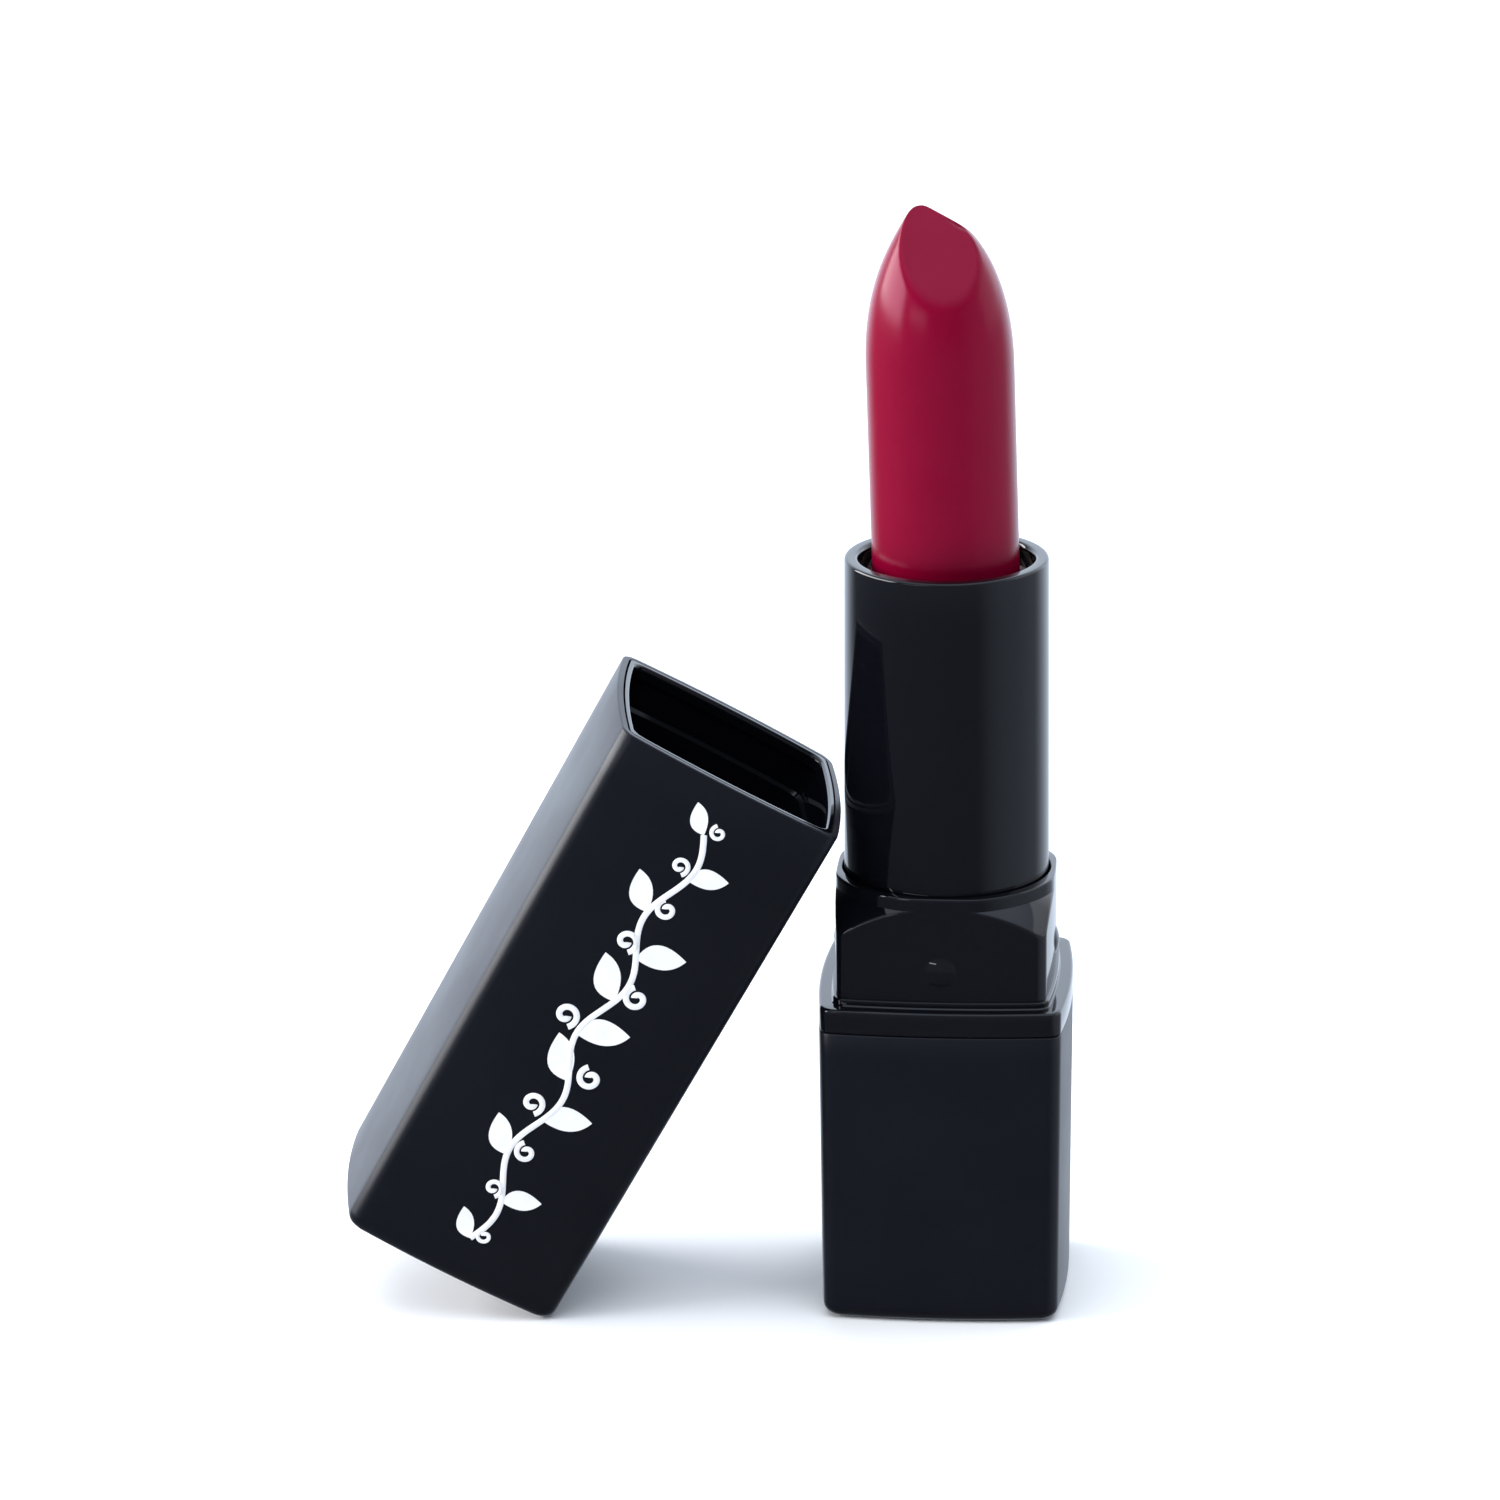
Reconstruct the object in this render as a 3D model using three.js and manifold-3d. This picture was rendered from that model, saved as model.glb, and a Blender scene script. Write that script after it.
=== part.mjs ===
// Square swivel lipstick case with its cap off. Millimetres, +Z up, origin under the middle of the base.
import * as THREE from 'three';
import { mergeVertices } from 'three/addons/utils/BufferGeometryUtils.js';
import Module from 'manifold-3d';

const wasm = await Module();
wasm.setup();

// The lipstick's own radius drives every width: each piece round it adds its wall and its clearance.
const bulletRadius = 6.05;

// Body section, shared by the base, the collar and the cap: a square with pillowed sides.
const bodyCorner = 1.25;
const sidePillow = 63.5;
const bodyEdge = 1.2;

// Heights up the case.
const shellHeight = 25.3;
const flangeHeight = 2.1;
const neckHeight = 9.45;
const sleeveReach = 26.65;

// Base.
const shellDraft = 0.2;
const shellWall = 0.9;
const shellFloor = 1.1;
const seamBevel = 0.15;
const labelRadius = 7.2;
const labelThickness = 0.2;
const insertCorner = 0.5;
const insertRoof = 1.2;
const coreRadius = 1.3;
const coreInset = 1.73;
const weightHeight = 9.6;
const weightRadius = 7.4;
const weightBevel = 0.4;

// Collar.
const skirtDepth = 3.3;
const ledgeEase = 0.25;
const neckWall = 0.45;
const neckCorner = 1.2;
const ringProud = 0.38;
const ringHeight = 1.1;
const shoulderFlare = 1.37;
const shoulderRound = 0.13;
const shoulderDepth = 4;
const footHeight = 0.6;
const footStep = 0.25;
const bumpRadius = 1.25;
const bumpRise = 0.3;
const bumpHeight = 3.1;

// Turning tube.
const sleeveDraft = 0.1;
const sleeveWall = 0.4;
const sleeveEase = 0.15;
const lipDepth = 1.9;
const lipWidth = 1.2;
const lipEase = 0.35;
const spiralWall = 0.7;
const grooveDepth = 0.45;

// Guide tube, brake ring, cup and lipstick.
const guideWall = 0.45;
const guideSetback = 2.6;
const footFlange = 1;
const brakeHeight = 1.6;
const brakeEase = 0.3;
const cupSetback = 2.9;
const cupHeight = 9.2;
const cupWall = 0.55;
const cupFloor = 0.9;
const cupEase = 0.3;
const rimEase = 0.15;
const pinRadius = 0.85;
const pinRise = 1.4;
const pinReach = 0.3;
const bulletOut = 29.2;
const domeHeight = 13.4;
const domePower = 0.6;
const cutAngle = 48.5;
const cutTurn = 11;
const tipBack = 0.8;
const cutDepth = 0.25;
const tipSkew = 1.1;
const skewDepth = 1.3;
const bulletLean = 1.6;

// Swivel: one turn of the tube raises the cup by the lead, and the tip ends just below the tube's mouth.
const lead = 16;
const tipSink = 0.8;
const runOutFacets = 2;

// Cap.
const capLength = 49.3;
const capDraft = 0.35;
const capWall = 0.55;
const capFloor = 1;
const linerWall = 0.55;
const linerFloor = 0.9;
const linerRelief = 0.25;
const capLean = 29.2;
const capHeading = 2;
const capTurn = 6;
const capForward = 3;

// Clearances.
const turnGap = 0.15;
const slideGap = 0.15;
const pinGap = 0.33;
const pressGap = 0.05;
const fitGap = 0.1;
const neckGap = 0.15;
const bondGap = 0.15;
const restGap = 0.3;

// Radii and half widths, from the lipstick outwards.
const cupOuter = bulletRadius + cupWall;
const guideInner = cupOuter + slideGap;
const guideOuter = guideInner + guideWall;
const spiralInner = guideOuter + turnGap;
const spiralOuter = spiralInner + spiralWall;
const sleeveBore = spiralOuter + pressGap;
const sleeveRadius = sleeveBore + sleeveWall;
const boreRadius = sleeveRadius + turnGap;
const neckHalf = boreRadius + neckWall;
const ringRadius = neckHalf + ringProud;
const linerInner = neckHalf + neckGap;
const linerHalf = linerInner + linerWall;
const bodyHalf = linerHalf + bondGap + capWall;
const insertHalf = bodyHalf - shellWall - fitGap;

// Heights, from the table upwards.
const insertTop = shellHeight - skirtDepth;
const ledge = shellHeight + flangeHeight;
const neckTop = ledge + neckHeight;
const sleeveTop = neckTop + sleeveReach;
const weightTop = shellFloor + weightHeight;
const guideFoot = weightTop + insertRoof;
const brakeFoot = guideFoot + footFlange;
const sleeveFoot = brakeFoot + brakeHeight + fitGap;
const spiralTop = sleeveTop - lipDepth;
const guideTop = sleeveTop - guideSetback;
const cupTop = sleeveTop - cupSetback;
const cupBottom = cupTop - cupHeight;
const pinHeight = cupBottom + pinRise;
const bulletFoot = cupBottom + cupFloor;
const bulletTop = sleeveTop + bulletOut;
const travel = bulletOut + tipSink;

// How far a piece is sunk into its neighbour before the two are joined.
const bite = 0.5;

const roundSteps = 48;
const pinSteps = 20;
const domeSteps = 5;
const edgeSteps = 5;
const domeRings = 12;
const sideSteps = 6;
const cornerSteps = 4;
const deg = Math.PI / 180;

function solidFrom(positions, triangles) {
  const mesh = new wasm.Mesh({
    numProp: 3,
    vertProperties: new Float32Array(positions),
    triVerts: new Uint32Array(triangles),
  });
  mesh.merge();
  return new wasm.Manifold(mesh);
}

function solidOf(geometry) {
  geometry.deleteAttribute('normal');
  geometry.deleteAttribute('uv');
  const merged = mergeVertices(geometry, 1e-4);
  const index = merged.index.array;
  const triangles = [];
  for (let i = 0; i < index.length; i += 3) {
    const [a, b, c] = [index[i], index[i + 1], index[i + 2]];
    if (a !== b && b !== c && c !== a) triangles.push(a, b, c);
  }
  return solidFrom(merged.attributes.position.array, triangles);
}

// Turned solid about Z from a profile of [radius, height] pairs.
function turned(profile, steps = roundSteps) {
  const points = profile.map(([radius, height]) => new THREE.Vector2(radius, height));
  const geometry = new THREE.LatheGeometry(points, steps);
  geometry.rotateX(Math.PI / 2);
  return solidOf(geometry);
}

function tube(inner, outer, bottom, top) {
  return turned([
    [inner, bottom],
    [outer, bottom],
    [outer, top],
    [inner, top],
    [inner, bottom],
  ]);
}

function rod(radius, bottom, top, steps = roundSteps) {
  const profile = [
    [0, bottom],
    [radius, bottom],
    [radius, top],
    [0, top],
  ];
  return turned(profile, steps);
}

// One quarter of the pillowed square: a side arc, then the corner arc that is tangent to it.
function quarterOutline(half, corner) {
  const side = sidePillow + half;
  const reach = side - corner;
  const seat = (Math.sqrt(2 * reach * reach - sidePillow * sidePillow) - sidePillow) / 2;
  const meet = Math.atan2(seat, seat + sidePillow);
  const points = [];
  for (let i = 0; i <= sideSteps; i++) {
    const a = meet * (2 * i / sideSteps - 1);
    points.push([side * Math.cos(a) - sidePillow, side * Math.sin(a)]);
  }
  for (let i = 1; i < cornerSteps; i++) {
    const a = meet + (Math.PI / 2 - 2 * meet) * i / cornerSteps;
    points.push([seat + corner * Math.cos(a), seat + corner * Math.sin(a)]);
  }
  return points;
}

function squareOutline(half, corner) {
  const quarter = quarterOutline(half, corner);
  const turns = [[1, 0], [0, 1], [-1, 0], [0, -1]];
  return turns.flatMap(([c, s]) => quarter.map(([x, y]) => [c * x - s * y, s * x + c * y]));
}

// Closed skin through outlines that have the same number of points, bottom to top.
function loft(levels) {
  const count = levels[0].outline.length;
  const positions = [];
  const triangles = [];
  for (const { outline, z } of levels) {
    for (const [x, y] of outline) positions.push(x, y, z);
  }
  for (let level = 0; level < levels.length - 1; level++) {
    for (let i = 0; i < count; i++) {
      const a = level * count + i;
      const b = level * count + (i + 1) % count;
      triangles.push(a, b, b + count, a, b + count, a + count);
    }
  }
  const foot = levels.length * count;
  const last = foot - count;
  positions.push(0, 0, levels[0].z, 0, 0, levels[levels.length - 1].z);
  for (let i = 0; i < count; i++) {
    const next = (i + 1) % count;
    triangles.push(foot, next, i, foot + 1, last + i, last + next);
  }
  return solidFrom(positions, triangles);
}

function squareLevel(half, corner, z) {
  return { outline: squareOutline(half, corner), z };
}

function squareBlock(half, corner, bottom, top) {
  return loft([squareLevel(half, corner, bottom), squareLevel(half, corner, top)]);
}

// Body block that widens upwards by its draft, with a rounded bottom edge and a bevelled top edge.
function bodyBlock(height, draft) {
  const levels = [];
  for (let i = 0; i <= edgeSteps; i++) {
    const a = Math.PI / 2 * i / edgeSteps;
    const inset = bodyEdge * (1 - Math.sin(a));
    const share = 1 - inset / bodyHalf;
    const outline = squareOutline(bodyHalf - draft, bodyCorner).map(([x, y]) => [x * share, y * share]);
    levels.push({ outline, z: bodyEdge * (1 - Math.cos(a)) });
  }
  levels.push(squareLevel(bodyHalf, bodyCorner, height - seamBevel));
  levels.push(squareLevel(bodyHalf - seamBevel, bodyCorner, height));
  return loft(levels);
}

function baseShell() {
  const cavity = squareBlock(bodyHalf - shellWall, insertCorner, shellFloor, shellHeight + 1);
  const recess = rod(labelRadius + fitGap, -1, labelThickness);
  return bodyBlock(shellHeight, shellDraft).subtract(cavity).subtract(recess);
}

// Round socket above for the tube, and a pocket below for the weight, with cored corners.
function baseInsert() {
  const block = squareBlock(insertHalf, insertCorner, shellFloor, insertTop);
  const socket = rod(boreRadius, guideFoot, insertTop + 1);
  const pocket = rod(weightRadius + fitGap, 0, weightTop);
  const coreAt = insertHalf - coreInset;
  const core = rod(coreRadius, 0, insertTop - 2 * insertRoof, pinSteps);
  const cores = [1, -1].flatMap((x) => [1, -1].map((y) => core.translate([x * coreAt, y * coreAt, 0])));
  return block.subtract(wasm.Manifold.union([socket, pocket, ...cores]));
}

function baseWeight() {
  const top = weightTop - fitGap;
  return turned([
    [0, shellFloor],
    [weightRadius - weightBevel, shellFloor],
    [weightRadius, shellFloor + weightBevel],
    [weightRadius, top - weightBevel],
    [weightRadius - weightBevel, top],
    [0, top],
  ]);
}

function shadeLabel() {
  return rod(labelRadius, 0, labelThickness);
}

function bump() {
  const profile = [[0, -bite], [bumpRadius, -bite]];
  for (let i = 0; i <= domeSteps; i++) {
    const out = 1 - i / domeSteps;
    profile.push([bumpRadius * out, bumpRise * (1 - out * out)]);
  }
  return turned(profile, pinSteps).rotate([0, 90, 0]).translate([neckHalf, 0, ledge + bumpHeight]);
}

// The neck is a square prism whose top corners a domed shoulder trims back to the ring.
function neck() {
  const prism = squareBlock(neckHalf, neckCorner, shellHeight, neckTop);
  const shoulderTop = neckTop - ringHeight;
  const swell = (deep) => ringRadius + shoulderFlare * deep - shoulderRound * deep * deep;
  const profile = [[0, 0], [swell(shoulderDepth), 0]];
  for (let i = domeSteps; i >= 0; i--) {
    const deep = shoulderDepth * i / domeSteps;
    profile.push([swell(deep), shoulderTop - deep]);
  }
  profile.push([ringRadius, shoulderTop], [ringRadius, neckTop - seamBevel]);
  profile.push([ringRadius - seamBevel, neckTop], [0, neckTop]);
  return prism.intersect(turned(profile));
}

function collar() {
  const flange = loft([
    squareLevel(bodyHalf - seamBevel, bodyCorner, shellHeight),
    squareLevel(bodyHalf, bodyCorner, shellHeight + seamBevel),
    squareLevel(bodyHalf, bodyCorner, ledge - ledgeEase),
    squareLevel(bodyHalf - ledgeEase, bodyCorner, ledge),
  ]);
  const skirt = squareBlock(insertHalf, insertCorner, insertTop, shellHeight + bite);
  const foot = squareBlock(neckHalf + footStep, neckCorner, shellHeight + bite, ledge + footHeight);
  const bumps = [0, 90, 180, 270].map((angle) => bump().rotate([0, 0, angle]));
  const bore = rod(boreRadius, 0, neckTop + 1);
  return wasm.Manifold.union([flange, skirt, foot, neck(), ...bumps]).subtract(bore);
}

// Two straight slots keep the cup from turning.
function guideTube() {
  const wall = tube(guideInner, guideOuter, guideFoot, guideTop);
  const flange = tube(guideInner, boreRadius - fitGap, guideFoot, brakeFoot);
  const half = pinRadius + pinGap;
  const low = pinHeight - travel - half;
  const slot = solidOf(new THREE.BoxGeometry(4 * guideOuter, 2 * half, travel + 2 * half));
  return wall.add(flange).subtract(slot.translate([0, 0, low + travel / 2 + half]));
}

function brakeRing() {
  const inner = guideOuter;
  const outer = sleeveRadius - fitGap;
  const bottom = brakeFoot;
  const top = brakeFoot + brakeHeight;
  return turned([
    [inner, bottom],
    [outer - brakeEase, bottom],
    [outer, bottom + brakeEase],
    [outer, top - brakeEase],
    [outer - brakeEase, top],
    [inner, top],
    [inner, bottom],
  ]);
}

function tubeSleeve() {
  const mouth = sleeveRadius - lipWidth - sleeveDraft;
  const lip = sleeveRadius - sleeveDraft;
  return turned([
    [sleeveBore, sleeveFoot],
    [sleeveRadius - sleeveEase, sleeveFoot],
    [sleeveRadius, sleeveFoot + sleeveEase],
    [sleeveRadius, neckTop],
    [lip, sleeveTop - lipEase],
    [lip - lipEase / 3, sleeveTop - lipEase / 3],
    [lip - lipEase, sleeveTop],
    [mouth + lipEase, sleeveTop],
    [mouth + lipEase / 3, sleeveTop - lipEase / 3],
    [mouth, sleeveTop - lipEase],
    [mouth, spiralTop],
    [sleeveBore, spiralTop],
    [sleeveBore, sleeveFoot],
  ]);
}

// Ribbon that cuts one helical groove; the pin sits in it at the start angle when the cup is up.
function grooveCutter(start) {
  const facet = 360 / roundSteps;
  const steps = Math.ceil(travel / lead * roundSteps) + 2 * runOutFacets;
  const slope = lead / (2 * Math.PI * spiralInner);
  const half = (pinRadius + pinGap) * Math.hypot(1, slope);
  const positions = [];
  const triangles = [];
  for (let i = 0; i <= steps; i++) {
    const angle = facet * (runOutFacets - i);
    const z = pinHeight + lead * angle / 360;
    const c = Math.cos((start + angle) * deg);
    const s = Math.sin((start + angle) * deg);
    for (const [r, dz] of [[-1, -half], [grooveDepth, -half], [grooveDepth, half], [-1, half]]) {
      positions.push((spiralInner + r) * c, (spiralInner + r) * s, z + dz);
    }
  }
  for (let i = 0; i < steps; i++) {
    for (let k = 0; k < 4; k++) {
      const a = 4 * i + k;
      const b = 4 * i + (k + 1) % 4;
      triangles.push(a, b, b + 4, a, b + 4, a + 4);
    }
  }
  const end = 4 * steps;
  triangles.push(0, 2, 1, 0, 3, 2, end, end + 1, end + 2, end, end + 2, end + 3);
  return solidFrom(positions, triangles);
}

function spiralSleeve() {
  const wall = tube(spiralInner, spiralOuter, sleeveFoot + fitGap, spiralTop);
  return wall.subtract(grooveCutter(0)).subtract(grooveCutter(180));
}

// The pins pass through the guide tube's slots into the spiral's grooves.
function cup() {
  const reach = spiralInner + pinReach;
  const body = turned([
    [0, cupBottom],
    [cupOuter - cupEase, cupBottom],
    [cupOuter, cupBottom + cupEase],
    [cupOuter, cupTop - rimEase],
    [cupOuter - rimEase, cupTop],
    [bulletRadius, cupTop],
    [bulletRadius, bulletFoot],
    [0, bulletFoot],
  ]);
  const pin = rod(pinRadius, bulletRadius + cupWall / 2, reach, pinSteps);
  const right = pin.rotate([0, 90, 0]).translate([0, 0, pinHeight]);
  const left = pin.rotate([0, -90, 0]).translate([0, 0, pinHeight]);
  return wasm.Manifold.union([body, left, right]);
}

// Pointed dome with a flat slanting cut at the front; the point sits to one side, and the wax leans in its cup.
function bullet() {
  const profile = [[0, bulletFoot], [bulletRadius, bulletFoot], [bulletRadius, cupTop]];
  for (let i = 0; i <= domeRings; i++) {
    const rise = Math.sin(Math.PI / 2 * i / domeRings);
    const radius = i < domeRings ? bulletRadius * (1 - rise * rise) ** domePower : 0;
    profile.push([radius, bulletTop + cutDepth - domeHeight * (1 - rise)]);
  }
  const side = 4 * domeHeight;
  const block = solidOf(new THREE.BoxGeometry(side, side, side)).translate([0, 0, side / 2]);
  const cutter = block.rotate([cutAngle, 0, 0]).translate([0, tipBack, bulletTop]).rotate([0, 0, cutTurn]);
  const lean = Math.tan(bulletLean * deg);
  return turned(profile).subtract(cutter).warp((v) => {
    v[0] -= lean * Math.max(0, v[2] - cupTop) + tipSkew * Math.exp((v[2] - bulletTop) / skewDepth);
  });
}

function capShell() {
  const corner = bodyCorner - capWall;
  const cavity = loft([
    squareLevel(bodyHalf - capDraft - capWall, corner, capFloor),
    squareLevel(bodyHalf - capWall, corner, capLength),
    squareLevel(bodyHalf - capWall, corner, capLength + 1),
  ]);
  return bodyBlock(capLength, capDraft).subtract(cavity);
}

// Gloss liner: it slides over the neck, and the bumps click into its shallow relief.
function capLiner() {
  const corner = neckCorner;
  const foot = capFloor + bondGap;
  const outer = loft([
    squareLevel(linerHalf - capDraft, bodyCorner - capWall - bondGap, foot),
    squareLevel(linerHalf, bodyCorner - capWall - bondGap, capLength),
  ]);
  const relief = capLength - bumpHeight;
  const inner = loft([
    squareLevel(linerInner - capDraft, corner, foot + linerFloor),
    squareLevel(linerInner, corner, relief - bumpRadius - linerRelief),
    squareLevel(linerInner + linerRelief, corner, relief - bumpRadius),
    squareLevel(linerInner + linerRelief, corner, relief + bumpRadius),
    squareLevel(linerInner, corner, relief + bumpRadius + linerRelief),
    squareLevel(linerInner, corner, capLength - linerRelief),
    squareLevel(linerInner + linerRelief, corner, capLength),
    squareLevel(linerInner + linerRelief, corner, capLength + 1),
  ]);
  return outer.subtract(inner);
}

// Pose of the cap: turned about its own axis, then leant over towards the sleeve.
function capTilt() {
  const heading = capHeading * deg;
  const hinge = new THREE.Vector3(-Math.sin(heading), Math.cos(heading), 0);
  const lean = new THREE.Matrix4().makeRotationAxis(hinge, capLean * deg);
  return lean.multiply(new THREE.Matrix4().makeRotationZ(capTurn * deg));
}

function geometryOf(solid) {
  const { vertProperties, triVerts } = solid.getMesh();
  const geometry = new THREE.BufferGeometry();
  geometry.setAttribute('position', new THREE.BufferAttribute(new Float32Array(vertProperties), 3));
  geometry.setIndex(new THREE.BufferAttribute(new Uint32Array(triVerts), 1));
  return geometry;
}

// Slides the leant cap along X until it stops just short of the sleeve, and stands it on the floor.
function restingShift(geometry) {
  const clear = sleeveRadius + restGap;
  const spots = geometry.attributes.position;
  let low = Infinity;
  let push = -Infinity;
  for (let i = 0; i < spots.count; i++) {
    const y = spots.getY(i) - capForward;
    low = Math.min(low, spots.getZ(i));
    if (Math.abs(y) < clear) push = Math.max(push, spots.getX(i) + Math.sqrt(clear * clear - y * y));
  }
  return new THREE.Vector3(-push, -capForward, -low);
}

function named(name, geometry, color, roughness, metalness) {
  geometry.computeVertexNormals();
  const mesh = new THREE.Mesh(geometry, new THREE.MeshStandardMaterial({ color, roughness, metalness }));
  mesh.name = name;
  return mesh;
}

const part = new THREE.Group();
part.add(named('base_shell', geometryOf(baseShell()), 0x1b1c20, 0.6, 0));
part.add(named('base_insert', geometryOf(baseInsert()), 0x2a2a2d, 0.5, 0));
part.add(named('base_weight', geometryOf(baseWeight()), 0x8d9095, 0.4, 1));
part.add(named('shade_label', geometryOf(shadeLabel()), 0xd8d5d0, 0.6, 0));
part.add(named('collar', geometryOf(collar()), 0x050506, 0.1, 0));
part.add(named('guide_tube', geometryOf(guideTube()), 0x1c1c1f, 0.35, 0));
part.add(named('brake_ring', geometryOf(brakeRing()), 0x3a3a3a, 0.7, 0));
part.add(named('tube_sleeve', geometryOf(tubeSleeve()), 0x050506, 0.1, 0));
part.add(named('spiral_sleeve', geometryOf(spiralSleeve()), 0xd9d9d6, 0.4, 0));
part.add(named('cup', geometryOf(cup()), 0xd8c9cb, 0.4, 0));
part.add(named('bullet', geometryOf(bullet()), 0x8e1234, 0.35, 0));

const tilt = capTilt();
const leantShell = geometryOf(capShell()).applyMatrix4(tilt);
const leantLiner = geometryOf(capLiner()).applyMatrix4(tilt);
const shift = restingShift(leantShell);
leantShell.translate(shift.x, shift.y, shift.z);
leantLiner.translate(shift.x, shift.y, shift.z);
part.add(named('cap_shell', leantShell, 0x1b1c20, 0.6, 0));
part.add(named('cap_liner', leantLiner, 0x050506, 0.1, 0));

export default part;
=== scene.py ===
import math
import bpy
import bmesh
from mathutils import Matrix, Vector


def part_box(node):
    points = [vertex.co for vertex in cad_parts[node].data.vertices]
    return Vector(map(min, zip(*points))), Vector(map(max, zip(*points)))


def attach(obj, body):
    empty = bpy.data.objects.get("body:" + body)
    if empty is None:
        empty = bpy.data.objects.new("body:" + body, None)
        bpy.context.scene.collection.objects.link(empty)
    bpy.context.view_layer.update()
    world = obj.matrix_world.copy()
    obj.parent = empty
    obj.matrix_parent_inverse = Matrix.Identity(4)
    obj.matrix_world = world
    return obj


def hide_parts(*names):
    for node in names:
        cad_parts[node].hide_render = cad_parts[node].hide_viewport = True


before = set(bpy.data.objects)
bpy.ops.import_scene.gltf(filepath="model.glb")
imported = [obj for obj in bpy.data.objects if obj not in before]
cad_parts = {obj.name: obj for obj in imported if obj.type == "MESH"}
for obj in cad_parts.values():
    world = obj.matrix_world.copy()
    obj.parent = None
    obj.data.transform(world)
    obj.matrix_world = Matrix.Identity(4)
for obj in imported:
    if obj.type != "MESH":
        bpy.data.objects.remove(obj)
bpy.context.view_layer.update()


# ---------------------------------------------------------------------------
# Base shell: the outer skin of the case's foot, a square tub with pillowed sides and a rounded lower edge.
# Injection-moulded ABS with a sprayed soft-touch coat, matt black with a cold cast.
# It is pushed up over the inner base from below, and its top edge meets the collar at a fine seam.

body_half = 0.0105
body_corner = 0.00125
side_arc = 0.074
shell_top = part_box("base_shell")[1].z
shell_draft = 0.0002
shell_edge = 0.0013
shell_wall = 0.00085
shell_floor = 0.0011
rim_bevel = 0.00012
rim_hold = 0.00003


def arc_radius(half):
    """Radius of the shallow side arcs, which all share their centres with the full-width section's."""
    return side_arc - (body_half - half)


def pillow_square(half, corner, side_steps=26, corner_steps=10):
    """One turn of the case's section: four shallow side arcs joined by tangent corner arcs."""
    side = arc_radius(half)
    drop = side - half
    reach = side - corner
    seat = (math.sqrt(2 * reach * reach - drop * drop) - drop) / 2
    meet = math.atan2(seat, seat + drop)
    quarter = []
    for i in range(side_steps + 1):
        a = meet * (2 * i / side_steps - 1)
        quarter.append((side * math.cos(a) - drop, side * math.sin(a)))
    for i in range(1, corner_steps):
        a = meet + (math.pi / 2 - 2 * meet) * i / corner_steps
        quarter.append((seat + corner * math.cos(a), seat + corner * math.sin(a)))
    turn = []
    for c, s in ((1, 0), (0, 1), (-1, 0), (0, -1)):
        turn += [(c * x - s * y, s * x + c * y) for x, y in quarter]
    return turn


def squeezed(points, inset, half):
    share = 1 - inset / half
    return [(x * share, y * share) for x, y in points]


def shown(name, data):
    """An object in the scene that holds a mesh, lamp or camera."""
    thing = bpy.data.objects.new(name, data)
    bpy.context.scene.collection.objects.link(thing)
    return thing


def made_solid(name, bm):
    """Turns the faces of a closed skin outwards and puts it in the scene."""
    bmesh.ops.recalc_face_normals(bm, faces=bm.faces)
    mesh = bpy.data.meshes.new(name)
    bm.to_mesh(mesh)
    bm.free()
    return shown(name, mesh)


def skinned(name, rings):
    """A closed skin through rings of equal count, each a list of 3D points, from one end to the other."""
    bm = bmesh.new()
    loops = [[bm.verts.new(p) for p in ring] for ring in rings]
    count = len(rings[0])
    for low, high in zip(loops, loops[1:]):
        for i in range(count):
            bm.faces.new((low[i], low[(i + 1) % count], high[(i + 1) % count], high[i]))
    bm.faces.new(list(reversed(loops[0])))
    bm.faces.new(loops[-1])
    return made_solid(name, bm)


def at_height(points, z):
    return [(x, y, z) for x, y in points]


def smooth_over(piece, degrees):
    piece.data.shade_smooth()
    piece.data.set_sharp_from_angle(angle=math.radians(degrees))


def finished(piece, material, body, slot, *nodes):
    """Gives a piece its material, hangs it on its body's empty, and hides the CAD nodes that it replaces.
    """
    piece.data.materials.clear()
    piece.data.materials.append(material)
    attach(piece, body)
    if nodes:
        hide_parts(*nodes)


def fresh_material(name):
    material = bpy.data.materials.new(name)
    material.use_nodes = True
    nodes = material.node_tree.nodes
    return material, nodes, material.node_tree.links, nodes["Principled BSDF"]


def wired(nodes, links, kind, inputs, **settings):
    """One shader node with its settings, and its inputs set to values or linked to sockets."""
    node = nodes.new(kind)
    for key, value in settings.items():
        setattr(node, key, value)
    for key, value in inputs.items():
        if isinstance(value, bpy.types.NodeSocket):
            links.new(value, node.inputs[key])
        else:
            node.inputs[key].default_value = value
    return node


def noise(nodes, links, place, scale, detail):
    """A noise fixed to the piece's own coordinates."""
    return wired(nodes, links, "ShaderNodeTexNoise",
                 {"Vector": place.outputs["Object"], "Scale": scale, "Detail": detail})


def blended(nodes, links, pattern, low, high):
    """A colour that a pattern takes from one shade to another."""
    return wired(nodes, links, "ShaderNodeMixRGB", {0: pattern.outputs[0], 1: low, 2: high})


def shine(nodes, links, pattern, low, high):
    """A roughness that a noise takes from low to high over the middle of its range."""
    return wired(nodes, links, "ShaderNodeMapRange",
                 {0: pattern.outputs[0], 1: 0.3, 2: 0.7, 3: low, 4: high})


def bumped(nodes, links, pattern, strength, distance):
    return wired(nodes, links, "ShaderNodeBump",
                 {"Height": pattern.outputs[0], "Strength": strength, "Distance": distance})


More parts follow.
